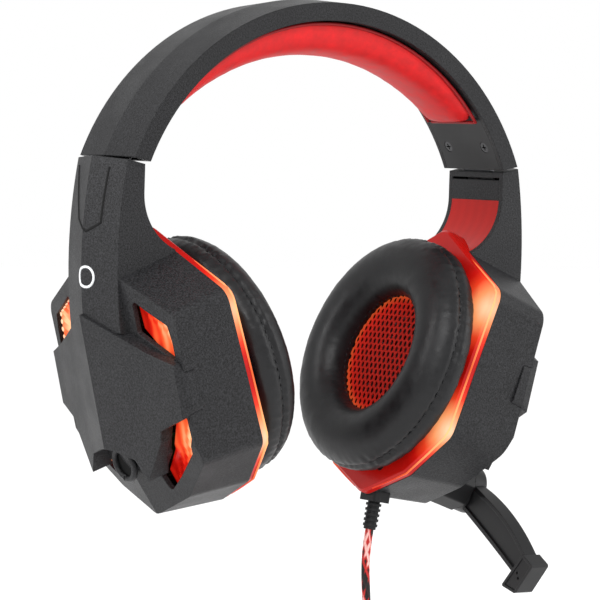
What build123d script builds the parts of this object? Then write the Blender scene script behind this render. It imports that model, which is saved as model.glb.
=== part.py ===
from build123d import *
from math import cos, hypot, pi, radians, sin, tan
import os

# Gaming headset. Millimetres. Origin: underside of the headband pad at the crown,
# where a head or a stand carries it. +Z up, +X the wearer's left (microphone and
# cord side), -Y the wearer's front. The left cup is modelled; the right is its mirror.

# ---- driving dimensions -------------------------------------------------------
# Headband: concentric arcs about a centre below the crown.
BAND_CENTRE_Z = -79.1
BAND_INNER_R = 92.4
BAND_EDGE_T = 7.2            # thickness at the front and back edges
BAND_CREST_T = 8.7           # thickness along the centre crease of the roof-shaped top
BAND_WIDTH = 40.0
BAND_WALL = 2.0
LINER_T = 1.5
CAVITY_T = 4.1               # height of the space between liner and outer wall
END_POINT = (85.5, -44.0)    # inner corner of the band's end (X, Z)
END_TILT = 12.0              # lean of the end cut, degrees
END_GAP = 1.2                # band end to top of the arm
PAD_HALF_ANGLE = 54.0
PAD_GAP = 0.3

# Slider: a flat straight tongue that draws out of the band's end.
SLIDE_TILT = 27.0            # degrees from vertical
TONGUE_T = 1.2
TONGUE_W = 18.0
TONGUE_START = (87.7, -42.9)  # where its centre line leaves the band (X, Z)
TONGUE_IN = 30.0             # length inside the band when closed
TONGUE_OUT = 14.0            # length clamped in the arm
TONGUE_CLEAR = 0.15

# Cup: its own plane, tilted so that the pads lean in toward the jaw.
CUP_TILT = 20.0
CUP_ORIGIN = (66.0, 0.0, -94.0)
CUP_DEPTH = 40.0
WALL = 2.2
SEAM_OUTLINE = [(0, 26.5), (46.5, 1.5), (43.5, -60), (25, -78), (0, -89)]
FACE_OUTLINE = [(0, 24.5), (45.2, -0.5), (42.8, -56.7), (23.7, -72), (0, -81)]
CORNER_R = 7.0
FACE_POINT, FACE_SLOPE = (0, 11, 31), (0.165, 0.096)       # upper facets of the outer face
KEEL_POINT, KEEL_SLOPE = (0, -80, 30), (0.20, -0.28)       # lower facets, down to the keel
PAD_CENTRE = (0, -32)
CUSHION_R = 47.5
CUSHION_DEPTH = 21.0
BEZEL_T = 3.5
BAFFLE_R = 39.5
TUBE_R = 27.4                # raised ring that carries the speaker mesh
TUBE_DEPTH = 9.0
DRIVER_R = 25.0

# Arm: part of the housing, from the cup up to the slider.
ARM_WIDTH = 36.0
ARM_ROOF = 5.2               # height of its centre crease over its edges
ARM_CREST = [(99.5, -44.4), (102.8, -70.0), (101.0, -110.0)]
ARM_HOLLOW = (63.6, -56.0, 23.1)   # inner curve: centre X, Z and radius
WINDOW_TOP_Z = -56.5

# Shield over the outer face, half outline (y, v), and its two pairs of facets.
SHIELD_HALF = [(0, 3.6), (31, -12.4), (43.6, -17.5), (45.2, -22.8), (45.2, -36.2),
               (43.6, -38.4), (31, -43), (30, -47.7), (20.3, -62.7), (15, -54.2),
               (4.2, -50.5), (0, -49.8)]
SHIELD_POINT, SHIELD_SLOPE = (0, 3.6, 38.5), (0.25, 0.104)
WING_POINT, WING_SLOPE = (43.4, 3.6, 27.9), (2.5, 0.104)
SHIELD_LOW_H = 22.5          # the wings wrap over the side walls down to here
SHIELD_WALL = 2.2
UPPER_WINDOW = [(22.6, 7.1), (30.4, 2.3), (40.1, -3.1), (41.3, -9.5), (41.5, -17.5), (22.7, -6)]
LOWER_WINDOW = [(41.5, -38), (42.0, -47.3), (39.3, -53.8), (26.5, -64.2), (15.8, -71.8),
                (15.2, -64), (26, -54), (30, -43)]

# Microphone: hub on the lower outer face, boom swinging about the cup's normal.
MIC_V = -70.0
HUB_R = 10.0
HUB_TOP_H = 43.8
BOOM_HUB_T = 7.0
PIN_R = 2.0
PIN_CLEAR = 0.05

# Cord.
CORD_D = 3.6
RELIEF_FOOT = (40.3, 0.0, -177.6)
RELIEF_TILT = 10.0
RELIEF_LENGTH = 14.0
COIL_MEAN_R = 20.75
COIL_SECTION = 14.6
COIL_CENTRE_Z = -254.0
TAIL_LENGTH = 24.0

os.makedirs("parts", exist_ok=True)

# ---- frames -------------------------------------------------------------------
CUP = Plane(
    origin=CUP_ORIGIN,
    x_dir=(0, 1, 0),
    z_dir=(cos(radians(CUP_TILT)), 0, -sin(radians(CUP_TILT))),
)
SLIDE_DIR = Vector(sin(radians(SLIDE_TILT)), 0, -cos(radians(SLIDE_TILT)))
BAND_AXIS = Axis((0, 0, BAND_CENTRE_Z), (0, 1, 0))


def in_cup(y, v, h):
    """A point given along the cup's front-back, up and outward directions."""
    return CUP.from_local_coords(Vector(y, v, h))


def facet(point, slope, side):
    """Plane of one facet of the outer face, falling away to the given side."""
    origin = in_cup(*point)
    tip = in_cup(point[0] + side * slope[0], point[1] + slope[1], point[2] + 1)
    return Plane(origin=origin, z_dir=tip - origin)


def both_sides(half):
    """A symmetric outline from its half, given from top to bottom."""
    back = [(-y, v) for y, v in reversed(half) if y > 0]
    return half + back


def save(name, piece):
    piece.label = name
    export_step(piece, f"parts/{name}.step")


def save_pair(stem, piece):
    """Write a piece of the left cup and its mirror image for the right cup."""
    save("left_" + stem, piece)
    with BuildPart() as twin:
        mirror(piece, about=Plane.YZ)
    save("right_" + stem, twin.part)


# ---- headband -------------------------------------------------------------------
def end_cut(offset=0.0):
    """Plane across the band's end, facing down and out."""
    normal = Vector(sin(radians(END_TILT)), 0, -cos(radians(END_TILT)))
    origin = Vector(END_POINT[0], 0, END_POINT[1]) + normal * offset
    return Plane(origin=origin, z_dir=normal)


def band_ring(points):
    """Sweep a closed (y, radius) section round the arch and cut both ends."""
    half_sweep = 75
    with BuildPart() as ring:
        with BuildSketch(Plane.YZ):
            with BuildLine():
                Polyline(*[(y, r + BAND_CENTRE_Z) for y, r in points], close=True)
            make_face()
        revolve(axis=BAND_AXIS, revolution_arc=half_sweep)
        mirror(about=Plane.YZ)
        cut = end_cut()
        split(bisect_by=cut, keep=Keep.BOTTOM)
        split(bisect_by=Plane(origin=(-cut.origin.X, 0, cut.origin.Z),
                              z_dir=(-cut.z_dir.X, 0, cut.z_dir.Z)), keep=Keep.BOTTOM)
    return ring.part


def tongue_box(grow, start, end):
    """The straight channel of the slider: from start to end along its travel."""
    middle = (start + end) / 2
    origin = Vector(TONGUE_START[0], 0, TONGUE_START[1]) + SLIDE_DIR * middle
    frame = Plane(origin=origin, x_dir=(0, 1, 0), z_dir=SLIDE_DIR)
    with BuildPart(frame) as box:
        Box(TONGUE_W + 2 * grow, TONGUE_T + 2 * grow, end - start)
    return box.part


HALF_W = BAND_WIDTH / 2
EDGE_R = BAND_INNER_R + BAND_EDGE_T
CREST_R = BAND_INNER_R + BAND_CREST_T
ROOF_R = BAND_INNER_R + LINER_T + CAVITY_T
INNER_W = HALF_W - BAND_WALL
channel = tongue_box(TONGUE_CLEAR, -TONGUE_IN - 1.0, 4.0)
section = [(HALF_W, BAND_INNER_R), (HALF_W, EDGE_R), (0, CREST_R), (-HALF_W, EDGE_R),
           (-HALF_W, BAND_INNER_R), (-INNER_W, BAND_INNER_R), (-INNER_W, ROOF_R),
           (INNER_W, ROOF_R), (INNER_W, BAND_INNER_R)]
SCREW_ANGLE = 61.5
SCREW_Y = 12.0
BAND_BOSS_R = 2.4
BAND_SCREW_R = 1.0
BAND_HEAD_R = 2.2
BAND_HEAD_T = 0.8


def band_screw_planes():
    """Axes of the four liner screws, pointing outward through the band."""
    planes = []
    for side in (1, -1):
        for y in (SCREW_Y, -SCREW_Y):
            out = Vector(side * sin(radians(SCREW_ANGLE)), 0, cos(radians(SCREW_ANGLE)))
            origin = Vector(0, y, BAND_CENTRE_Z) + out * BAND_INNER_R
            planes.append(Plane(origin=origin, x_dir=(0, 1, 0), z_dir=out))
    return planes


with BuildPart() as headband_shell:
    add(band_ring(section))
    add(channel, mode=Mode.SUBTRACT)
    add(channel.mirror(Plane.YZ), mode=Mode.SUBTRACT)
    for plane in band_screw_planes():
        with BuildSketch(plane.offset(LINER_T)):
            Circle(BAND_BOSS_R)
            Circle(BAND_SCREW_R, mode=Mode.SUBTRACT)
        extrude(amount=CAVITY_T + 0.5)
save("headband_shell", headband_shell.part)

LINER_W = INNER_W - 0.1
with BuildPart() as headband_liner:
    add(band_ring([(LINER_W, BAND_INNER_R), (LINER_W, BAND_INNER_R + LINER_T),
                   (-LINER_W, BAND_INNER_R + LINER_T), (-LINER_W, BAND_INNER_R)]))
    add(channel, mode=Mode.SUBTRACT)
    add(channel.mirror(Plane.YZ), mode=Mode.SUBTRACT)
    for plane in band_screw_planes():
        with BuildSketch(plane.offset(-2)):
            Circle(BAND_HEAD_R + 0.1)
        extrude(amount=2 + BAND_HEAD_T + 0.1, mode=Mode.SUBTRACT)
        with BuildSketch(plane):
            Circle(BAND_SCREW_R + 0.1)
        extrude(amount=LINER_T + 1, mode=Mode.SUBTRACT)
save("headband_liner", headband_liner.part)

with BuildPart() as headband_screws:
    for plane in band_screw_planes():
        with BuildSketch(plane.offset(0.1)):
            Circle(BAND_HEAD_R)
            Rectangle(2.6, 0.6, mode=Mode.SUBTRACT)
            Rectangle(0.6, 2.6, mode=Mode.SUBTRACT)
        extrude(amount=BAND_HEAD_T)
        with BuildSketch(plane.offset(BAND_HEAD_T)):
            Circle(BAND_SCREW_R)
        extrude(amount=LINER_T + 3)
save("headband_screws", headband_screws.part)


def arch_strip(half_width, r_low, r_high, half_angle):
    """A strip round the crown between two radii, ending at plus and minus half_angle."""
    with BuildPart() as strip:
        with BuildSketch(Plane.YZ):
            with Locations((0, (r_low + r_high) / 2 + BAND_CENTRE_Z)):
                Rectangle(2 * half_width, r_high - r_low)
        revolve(axis=BAND_AXIS, revolution_arc=half_angle)
        mirror(about=Plane.YZ)
    return strip.part


LINER_TOP_R = BAND_INNER_R + LINER_T
save("headband_spring", arch_strip(7.0, LINER_TOP_R, LINER_TOP_R + 0.8, 40))
WIRE_R = 0.8
with BuildPart() as crossover_wire:
    with BuildSketch(Plane.YZ):
        with Locations((13.5, LINER_TOP_R + WIRE_R + BAND_CENTRE_Z)):
            Circle(WIRE_R)
    revolve(axis=BAND_AXIS, revolution_arc=57)
    mirror(about=Plane.YZ)
save("crossover_wire", crossover_wire.part)

PAD_TOP_R = BAND_INNER_R - PAD_GAP
PAD_SIDE_W = 15.5
PAD_LOW_END = (70.5, -26.5)  # where the underside's flatter arc ends
pad_edge = (PAD_TOP_R * sin(radians(PAD_HALF_ANGLE)),
            BAND_CENTRE_Z + PAD_TOP_R * cos(radians(PAD_HALF_ANGLE)))
with BuildPart() as headband_pad:
    with BuildSketch(Plane.XZ.offset(-PAD_SIDE_W)):
        with BuildLine():
            ThreePointArc((-pad_edge[0], pad_edge[1]), (0, BAND_CENTRE_Z + PAD_TOP_R), pad_edge)
            Line(pad_edge, PAD_LOW_END)
            ThreePointArc(PAD_LOW_END, (0, 0), (-PAD_LOW_END[0], PAD_LOW_END[1]))
            Line((-PAD_LOW_END[0], PAD_LOW_END[1]), (-pad_edge[0], pad_edge[1]))
        make_face()
    extrude(amount=2 * PAD_SIDE_W)
save("headband_pad", headband_pad.part)


# ---- cup housing ------------------------------------------------------------------
def cup_block(inset, drop):
    """The cup's faceted body, shrunk by inset at the walls and drop at the outer face."""
    with BuildPart() as block:
        for outline, h in ((SEAM_OUTLINE, 0), (FACE_OUTLINE, CUP_DEPTH)):
            with BuildSketch(CUP.offset(h)):
                with BuildLine():
                    Polyline(*both_sides(outline), close=True)
                make_face()
                if inset:
                    offset(amount=-inset, kind=Kind.INTERSECTION)
                fillet(vertices(), radius=max(CORNER_R - inset, 1.5))
        loft(ruled=True)
        for point, slope in ((FACE_POINT, FACE_SLOPE), (KEEL_POINT, KEEL_SLOPE)):
            lowered = (point[0], point[1], point[2] - drop)
            for side in (1, -1):
                split(bisect_by=facet(lowered, slope, side), keep=Keep.BOTTOM)
    return block.part


def arm_body(half_width, shave, top_offset):
    """The arm: a side profile drawn out to both edges along the slope of its roof."""
    (x0, z0), (x1, z1), (x2, z2) = ARM_CREST
    top = end_cut(top_offset)
    with BuildPart() as arm:
        for side in (1, -1):
            with BuildSketch(Plane.XZ):
                with BuildLine():
                    ThreePointArc((x0 - shave - 0.3, z0 + 4), (x1 - shave, z1), (x2 - shave, z2))
                    Polyline((x2 - shave, z2), (x2 - 30, z2 - 10), (x0 - 34, z0 - 30),
                             (x0 - 18, z0 + 4), (x0 - shave - 0.3, z0 + 4))
                make_face()
            lean = Vector(-ARM_ROOF * half_width / (ARM_WIDTH / 2), side * half_width, 0)
            extrude(amount=lean.length, dir=lean.normalized())
        split(bisect_by=top, keep=Keep.TOP)
    return arm.part


def hollow_drum(radius, half_width):
    """The round space beside the cushion that the arm curves around."""
    x, z, _ = ARM_HOLLOW
    with BuildPart() as drum:
        with BuildSketch(Plane.XZ.offset(-half_width)):
            with Locations((x, z)):
                Circle(radius)
            with Locations((x, z + 20)):
                Rectangle(2 * radius, 40)
        extrude(amount=2 * half_width)
    return drum.part


def window_cutter(half, side, bottom_h, top_h):
    """One window's opening, drawn through the outer face between two heights."""
    with BuildPart() as cutter:
        with BuildSketch(CUP.offset(bottom_h)):
            with BuildLine():
                Polyline(*[(side * y, v) for y, v in half], close=True)
            make_face()
            fillet(vertices(), radius=1.5)
        extrude(amount=top_h - bottom_h)
    return cutter.part


ARM_HALF = ARM_WIDTH / 2
ARM_WALL = 2.2
outer_block = cup_block(0, 0)
inner_block = cup_block(WALL, WALL)
arm_outer = arm_body(ARM_HALF, 0, END_GAP)
arm_inner = arm_body(ARM_HALF - ARM_WALL, ARM_WALL, END_GAP + ARM_WALL)
drum = hollow_drum(ARM_HOLLOW[2], 30)
slot = tongue_box(0.1, -2.0, TONGUE_OUT)
with BuildPart() as seam_side:
    with BuildSketch(CUP):
        Rectangle(300, 300)
    extrude(amount=-100)
BAFFLE_SCREWS = [(37, -28), (-37, -28)]
BEZEL_SCREWS = [(8, -76), (-8, -76)]
BOSSES = BAFFLE_SCREWS + BEZEL_SCREWS
BOSS_R = 3.0
SCREW_R = 1.3
SCREW_HEAD_R = 2.4
SCREW_HEAD_T = 1.5
with BuildPart() as bosses:
    with BuildSketch(CUP):
        with Locations(*BOSSES):
            Circle(BOSS_R)
            Circle(SCREW_R, mode=Mode.SUBTRACT)
    extrude(amount=CUP_DEPTH)
    add(cup_block(WALL / 2, WALL / 2), mode=Mode.INTERSECT)

with BuildPart() as housing:
    add(outer_block)
    add(arm_outer)
    add(seam_side.part, mode=Mode.SUBTRACT)
    add(drum, mode=Mode.SUBTRACT)
    add(arm_inner, mode=Mode.SUBTRACT)
    add(inner_block, mode=Mode.SUBTRACT)
    add(slot, mode=Mode.SUBTRACT)
    for windows in (UPPER_WINDOW, LOWER_WINDOW):
        for side in (1, -1):
            add(window_cutter(windows, side, 20, 45), mode=Mode.SUBTRACT)
    add(bosses.part)
save_pair("housing", housing.part)


# ---- shield over the outer face ----------------------------------------------------
def shield_block(inset, drop):
    """The mask-shaped cover: its outline drawn outward and cut by four facets."""
    with BuildPart() as block:
        with BuildSketch(CUP.offset(SHIELD_LOW_H)):
            with BuildLine():
                Polyline(*both_sides(SHIELD_HALF), close=True)
            make_face()
            if inset:
                offset(amount=-inset, kind=Kind.INTERSECTION)
        extrude(amount=40)
        for point, slope in ((SHIELD_POINT, SHIELD_SLOPE), (WING_POINT, WING_SLOPE)):
            for side in (1, -1):
                lowered = (side * point[0], point[1], point[2] - drop)
                split(bisect_by=facet(lowered, slope, side), keep=Keep.BOTTOM)
    return block.part


with BuildPart() as shield:
    add(shield_block(0, 0))
    add(shield_block(SHIELD_WALL, SHIELD_WALL), mode=Mode.SUBTRACT)
    add(outer_block, mode=Mode.SUBTRACT)
    add(arm_outer, mode=Mode.SUBTRACT)
save_pair("shield", shield.part)

# ---- light guide behind the four windows ---------------------------------------------
GUIDE_DROP = 5.0
GUIDE_T = 1.6
GUIDE_LOW_H = 16.0
GUIDE_MID_GAP = 27.0
with BuildPart() as light_guide:
    add(cup_block(WALL + 0.4, GUIDE_DROP))
    add(cup_block(WALL + 0.4 + GUIDE_T, GUIDE_DROP + GUIDE_T), mode=Mode.SUBTRACT)
    with BuildSketch(CUP):
        Rectangle(200, 300)
    extrude(amount=GUIDE_LOW_H, mode=Mode.SUBTRACT)
    with BuildSketch(CUP):
        Rectangle(GUIDE_MID_GAP, 300)
        with Locations((0, 60)):
            Rectangle(120, 96)
        with Locations(*BOSSES):
            Circle(BOSS_R + 0.3)
    extrude(amount=CUP_DEPTH, mode=Mode.SUBTRACT)
save_pair("light_guide", light_guide.part)

def screw_cutter(spots, surface_h):
    """Screw holes with pockets for the heads, from a face that looks toward the head."""
    with BuildPart() as cutter:
        for radius, depth in ((SCREW_HEAD_R + 0.1, SCREW_HEAD_T + 0.1), (SCREW_R + 0.1, 6)):
            with BuildSketch(CUP.offset(surface_h)):
                with Locations(*spots):
                    Circle(radius)
            extrude(amount=depth)
    return cutter.part


# ---- bezel: translucent ring at the seam, with its peak up the arm --------------------
PEAK_HALF_W = 15.6
with BuildPart() as peak:
    add(outer_block)
    add(drum, mode=Mode.INTERSECT)
    with BuildSketch(CUP.offset(-1)):
        Rectangle(2 * PEAK_HALF_W, 200)
    extrude(amount=60, mode=Mode.INTERSECT)
    add(inner_block, mode=Mode.SUBTRACT)
BEZEL_CHAMFER = 1.0
with BuildPart() as bezel:
    with BuildSketch(CUP.offset(-BEZEL_T)):
        with BuildLine():
            Polyline(*both_sides(SEAM_OUTLINE), close=True)
        make_face()
        offset(amount=-0.2, kind=Kind.INTERSECTION)
        fillet(vertices(), radius=CORNER_R)
    extrude(amount=BEZEL_T)
    inner_face = faces().sort_by(Axis(CUP.origin, CUP.z_dir))[0]
    chamfer(inner_face.edges(), length=BEZEL_CHAMFER)
    with BuildSketch(CUP.offset(-BEZEL_T)):
        with Locations(PAD_CENTRE):
            Circle(BAFFLE_R + 0.1)
    extrude(amount=BEZEL_T, mode=Mode.SUBTRACT)
    add(peak.part)
    add(screw_cutter(BEZEL_SCREWS, -BEZEL_T), mode=Mode.SUBTRACT)
save_pair("bezel", bezel.part)

# ---- arm cap and red window on the inner side of the arm -----------------------------
CAP_X = ARM_HOLLOW[0] + ARM_HOLLOW[2]
ARM_INNER_HALF = ARM_HALF - ARM_WALL - 0.1
CAP_T = 2.0
WEDGE_HALF_W = TONGUE_W / 2 - 1
start_x, start_z = TONGUE_START
tongue_lean = tan(radians(SLIDE_TILT))
tongue_skin = TONGUE_T / 2 / cos(radians(SLIDE_TILT))


def tongue_face_x(z):
    """X of the tongue's inner face at a height."""
    return start_x + (start_z - z) * tongue_lean - tongue_skin


CAP_TOP_Z = -48.2
with BuildPart() as arm_cap:
    with BuildSketch(Plane.XZ.offset(-ARM_INNER_HALF)):
        with BuildLine():
            Polyline((CAP_X, CAP_TOP_Z), (CAP_X, WINDOW_TOP_Z), (CAP_X + CAP_T, WINDOW_TOP_Z),
                     (CAP_X + CAP_T, CAP_TOP_Z), close=True)
        make_face()
    extrude(amount=2 * ARM_INNER_HALF)
    with BuildSketch(Plane.XZ.offset(-WEDGE_HALF_W)):
        with BuildLine():
            Polyline((CAP_X + 0.5, CAP_TOP_Z), (CAP_X + 0.5, WINDOW_TOP_Z),
                     (tongue_face_x(WINDOW_TOP_Z), WINDOW_TOP_Z),
                     (tongue_face_x(CAP_TOP_Z), CAP_TOP_Z), close=True)
        make_face()
    extrude(amount=2 * WEDGE_HALF_W)
    add(tongue_box(0.0, -2.0, TONGUE_OUT + 6), mode=Mode.SUBTRACT)
save_pair("arm_cap", arm_cap.part)

WINDOW_T = 2.0
with BuildPart() as arm_window:
    with BuildSketch(Plane.XZ.offset(-ARM_INNER_HALF)):
        with Locations((ARM_HOLLOW[0], ARM_HOLLOW[1])):
            Circle(ARM_HOLLOW[2] + WINDOW_T)
            Circle(ARM_HOLLOW[2], mode=Mode.SUBTRACT)
        with Locations((ARM_HOLLOW[0], WINDOW_TOP_Z + 25)):
            Rectangle(80, 50, mode=Mode.SUBTRACT)
        with Locations((ARM_HOLLOW[0] - 20, ARM_HOLLOW[1])):
            Rectangle(56, 100, mode=Mode.SUBTRACT)
    extrude(amount=2 * ARM_INNER_HALF)
    add(seam_side.part, mode=Mode.SUBTRACT)
    add(peak.part, mode=Mode.SUBTRACT)
    add(housing.part, mode=Mode.SUBTRACT)
save_pair("arm_window", arm_window.part)

# ---- slider -----------------------------------------------------------------------
SLIDER_SCREW_Y = 5.0
SLIDER_SCREW_AT = 9.0
tongue_out_dir = Vector(cos(radians(SLIDE_TILT)), 0, sin(radians(SLIDE_TILT)))


def slider_screw_plane(y):
    """Axis of a screw through the tongue, pointing away from the head."""
    origin = Vector(start_x, y, start_z) + SLIDE_DIR * SLIDER_SCREW_AT
    return Plane(origin=origin + tongue_out_dir * (TONGUE_T / 2), x_dir=(0, 1, 0),
                 z_dir=tongue_out_dir)


with BuildPart() as slider:
    add(tongue_box(0.0, -TONGUE_IN, TONGUE_OUT))
    for y in (SLIDER_SCREW_Y, -SLIDER_SCREW_Y):
        with BuildSketch(slider_screw_plane(y)):
            Circle(1.25)
        extrude(amount=-TONGUE_T, mode=Mode.SUBTRACT)
    for step in range(5):
        notch = Vector(start_x, TONGUE_W / 2, start_z) - SLIDE_DIR * (8 + 4 * step)
        with BuildSketch(Plane(origin=notch, x_dir=(0, 1, 0), z_dir=tongue_out_dir)):
            Circle(0.8)
        extrude(amount=TONGUE_T, both=True, mode=Mode.SUBTRACT)
save_pair("slider", slider.part)

with BuildPart() as slider_screws:
    for y in (SLIDER_SCREW_Y, -SLIDER_SCREW_Y):
        plane = slider_screw_plane(y)
        with BuildSketch(plane):
            Circle(2.2)
        extrude(amount=1.2)
        with BuildSketch(plane):
            Circle(1.2)
        extrude(amount=-TONGUE_T)
save_pair("slider_screws", slider_screws.part)

# ---- speaker side of the cup ---------------------------------------------------------
PAD_PLANE = Plane(origin=in_cup(PAD_CENTRE[0], PAD_CENTRE[1], 0), x_dir=CUP.x_dir,
                  z_dir=CUP.z_dir)
FLANGE_T = 1.0
FLANGE_R = 41.0
GRILLE_T = 1.0
TUBE_WALL = 1.7
PAD_PROFILE = Plane(origin=PAD_PLANE.origin, x_dir=CUP.x_dir, z_dir=CUP.y_dir)


def turned(points):
    """A solid of revolution about the pad's axis from (radius, outward height) points."""
    with BuildPart() as solid:
        with BuildSketch(PAD_PROFILE):
            with BuildLine():
                Polyline(*[(r, -h) for r, h in points], close=True)
            make_face()
        revolve(axis=Axis(PAD_PLANE.origin, PAD_PLANE.z_dir))
    return solid.part


FRONT_H = -BEZEL_T - FLANGE_T
with BuildPart() as baffle:
    add(turned([(0, -TUBE_DEPTH), (TUBE_R, -TUBE_DEPTH), (TUBE_R, FRONT_H), (FLANGE_R, FRONT_H),
                (FLANGE_R, -BEZEL_T), (BAFFLE_R, -BEZEL_T), (BAFFLE_R, 0),
                (TUBE_R - TUBE_WALL, 0), (TUBE_R - TUBE_WALL, GRILLE_T - TUBE_DEPTH),
                (0, GRILLE_T - TUBE_DEPTH)]))
    with BuildSketch(PAD_PLANE.offset(-TUBE_DEPTH)):
        with Locations(*[p for p in HexLocations(2.9, 9, 9).local_locations
                         if hypot(p.position.X, p.position.Y) < TUBE_R - TUBE_WALL - 3]):
            Circle(1.8)
    extrude(amount=GRILLE_T, mode=Mode.SUBTRACT)
    add(screw_cutter(BAFFLE_SCREWS, FRONT_H), mode=Mode.SUBTRACT)
save_pair("baffle", baffle.part)

MESH_T = 0.8
save_pair("speaker_mesh", turned([(0, -TUBE_DEPTH - MESH_T), (TUBE_R, -TUBE_DEPTH - MESH_T),
                                  (TUBE_R, -TUBE_DEPTH), (0, -TUBE_DEPTH)]))
DRIVER_FRONT = GRILLE_T - TUBE_DEPTH
save_pair("driver_frame", turned([(DRIVER_R, DRIVER_FRONT), (DRIVER_R, DRIVER_FRONT + 4),
                                  (16, 3), (8.4, 3), (8.4, 1.4), (15, 1.4),
                                  (DRIVER_R - 2.5, DRIVER_FRONT + 3), (DRIVER_R - 2.5, DRIVER_FRONT)]))
save_pair("driver_cone", turned([(0, -4.2), (8, -5.6), (DRIVER_R - 2.5, DRIVER_FRONT + 1.4),
                                 (DRIVER_R - 2.5, DRIVER_FRONT + 1.9), (8, -5.0), (8, 1.0),
                                 (7.6, 1.0), (7.6, -4.7), (0, -3.7)]))
save_pair("driver_magnet", turned([(8.4, 3), (13.5, 3), (13.5, 8.5), (0, 8.5), (0, 1.2),
                                   (7.2, 1.2), (7.2, 4), (8.4, 4)]))

CUSHION_HOLE_R = 24.0
cushion_back = FRONT_H
cushion_front = cushion_back - CUSHION_DEPTH
tube_gap = 0.4
with BuildPart() as cushion:
    add(turned([(TUBE_R + tube_gap, cushion_back), (CUSHION_R, cushion_back),
                (CUSHION_R, cushion_back - 7), (CUSHION_R - 2.5, cushion_back - 14),
                (CUSHION_R - 8, cushion_front), (CUSHION_HOLE_R + 6, cushion_front),
                (CUSHION_HOLE_R, cushion_front + 6),
                (CUSHION_HOLE_R, -TUBE_DEPTH - MESH_T - 0.4),
                (TUBE_R + tube_gap, -TUBE_DEPTH - MESH_T - 0.4)]))
save_pair("cushion", cushion.part)

# ---- electronics behind the seam -------------------------------------------------------
BOARD_T = 1.2
LED_SPOTS = [(38.5, -2), (39.2, -18), (38.2, -42), (35, -60), (12, 9), (17, -76)]
with BuildPart() as led_board:
    with BuildSketch(CUP):
        with BuildLine():
            Polyline(*both_sides(SEAM_OUTLINE), close=True)
        make_face()
        offset(amount=-(WALL + 0.6), kind=Kind.INTERSECTION)
        fillet(vertices(), radius=4)
        with Locations(PAD_CENTRE):
            Circle(35.5, mode=Mode.SUBTRACT)
        with Locations(*BOSSES):
            Circle(BOSS_R + 0.4, mode=Mode.SUBTRACT)
        with Locations((0, 63)):
            Rectangle(100, 100, mode=Mode.SUBTRACT)
    extrude(amount=BOARD_T)
save_pair("led_board", led_board.part)

with BuildPart() as leds:
    with BuildSketch(CUP.offset(BOARD_T)):
        with Locations(*[(side * y, v) for y, v in LED_SPOTS for side in (1, -1)]):
            Rectangle(3.2, 2.8)
    extrude(amount=1.3)
save_pair("leds", leds.part)

SCREW_LENGTH = 10.0
with BuildPart() as housing_screws:
    for spots, surface_h in ((BAFFLE_SCREWS, FRONT_H), (BEZEL_SCREWS, -BEZEL_T)):
        with BuildSketch(CUP.offset(surface_h + 0.1)):
            with Locations(*spots):
                Circle(SCREW_HEAD_R)
                Rectangle(3, 0.7, mode=Mode.SUBTRACT)
                Rectangle(0.7, 3, mode=Mode.SUBTRACT)
        extrude(amount=SCREW_HEAD_T)
        with BuildSketch(CUP.offset(surface_h + SCREW_HEAD_T)):
            with Locations(*spots):
                Circle(SCREW_R)
        extrude(amount=SCREW_LENGTH)
save_pair("housing_screws", housing_screws.part)

SOUND_BOARD_H = 14.0
with BuildPart() as sound_board:
    with BuildSketch(CUP.offset(SOUND_BOARD_H)):
        with Locations((0, -34)):
            Rectangle(34, 40)
    extrude(amount=BOARD_T)
    with BuildSketch(CUP.offset(SOUND_BOARD_H + BOARD_T)):
        with Locations((0, -28)):
            Rectangle(8, 8)
        with Locations((11, -44), (-11, -44), (11, -22)):
            Rectangle(4, 3)
    extrude(amount=1.2)
save("sound_board", sound_board.part)

# ---- microphone ------------------------------------------------------------------------
MIC_PLANE = Plane(origin=in_cup(0, MIC_V, HUB_TOP_H), x_dir=CUP.x_dir, z_dir=CUP.z_dir)
HUB_SIDES = 8
PIN_DEPTH = 8.0
BOOM_GAP = 0.2
with BuildPart() as mic_hub:
    with BuildSketch(MIC_PLANE):
        RegularPolygon(HUB_R, HUB_SIDES, major_radius=False)
    extrude(amount=-16)
    fillet(edges().filter_by(Axis(MIC_PLANE.origin, MIC_PLANE.z_dir)), radius=1.2)
    with BuildSketch(MIC_PLANE):
        Circle(PIN_R)
    extrude(amount=-PIN_DEPTH, mode=Mode.SUBTRACT)
    add(outer_block, mode=Mode.SUBTRACT)
    add(shield.part, mode=Mode.SUBTRACT)
save("mic_hub", mic_hub.part)

BOOM_BASE = MIC_PLANE.offset(BOOM_GAP)
PIN_HEAD_R = 4.0
PIN_HEAD_T = 1.2
with BuildPart() as mic_pin:
    with BuildSketch(MIC_PLANE.offset(BOOM_GAP + BOOM_HUB_T)):
        Circle(PIN_HEAD_R)
        Rectangle(5, 0.9, mode=Mode.SUBTRACT)
    extrude(amount=-PIN_HEAD_T)
    with BuildSketch(MIC_PLANE.offset(BOOM_GAP + BOOM_HUB_T - PIN_HEAD_T)):
        Circle(PIN_R)
    extrude(amount=-(BOOM_GAP + BOOM_HUB_T - PIN_HEAD_T + PIN_DEPTH))
save("mic_pin", mic_pin.part)

# The boom is a curved flat bar beside the cup; its two edges (Y, Z) run from the hub
# forward and down to the head, which hangs across its end.
BOOM_X, BOOM_T = 82.3, 6.0
BOOM_LOW_EDGE = [(7.5, -177.5), (-18.3, -193.2), (-39.5, -207.5)]
BOOM_TOP_EDGE = [(-47.2, -200.4), (-31.5, -185.2), (1.0, -171.5)]
BOOM_RIM = 1.8
BOOM_GROOVE = 0.8
HEAD_CORNERS = [(-46.5, -198.2), (-53.5, -202.4), (-42.6, -214.8), (-33.3, -212.3)]
HEAD_X, HEAD_T = 80.6, 8.4
HEAD_WALL = 1.2
CAP_DEPTH = 1.6
CAPSULE_AT = (-43.8, -208.3)
CAPSULE_R = 2.4
CAPSULE_L = 5.0


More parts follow.
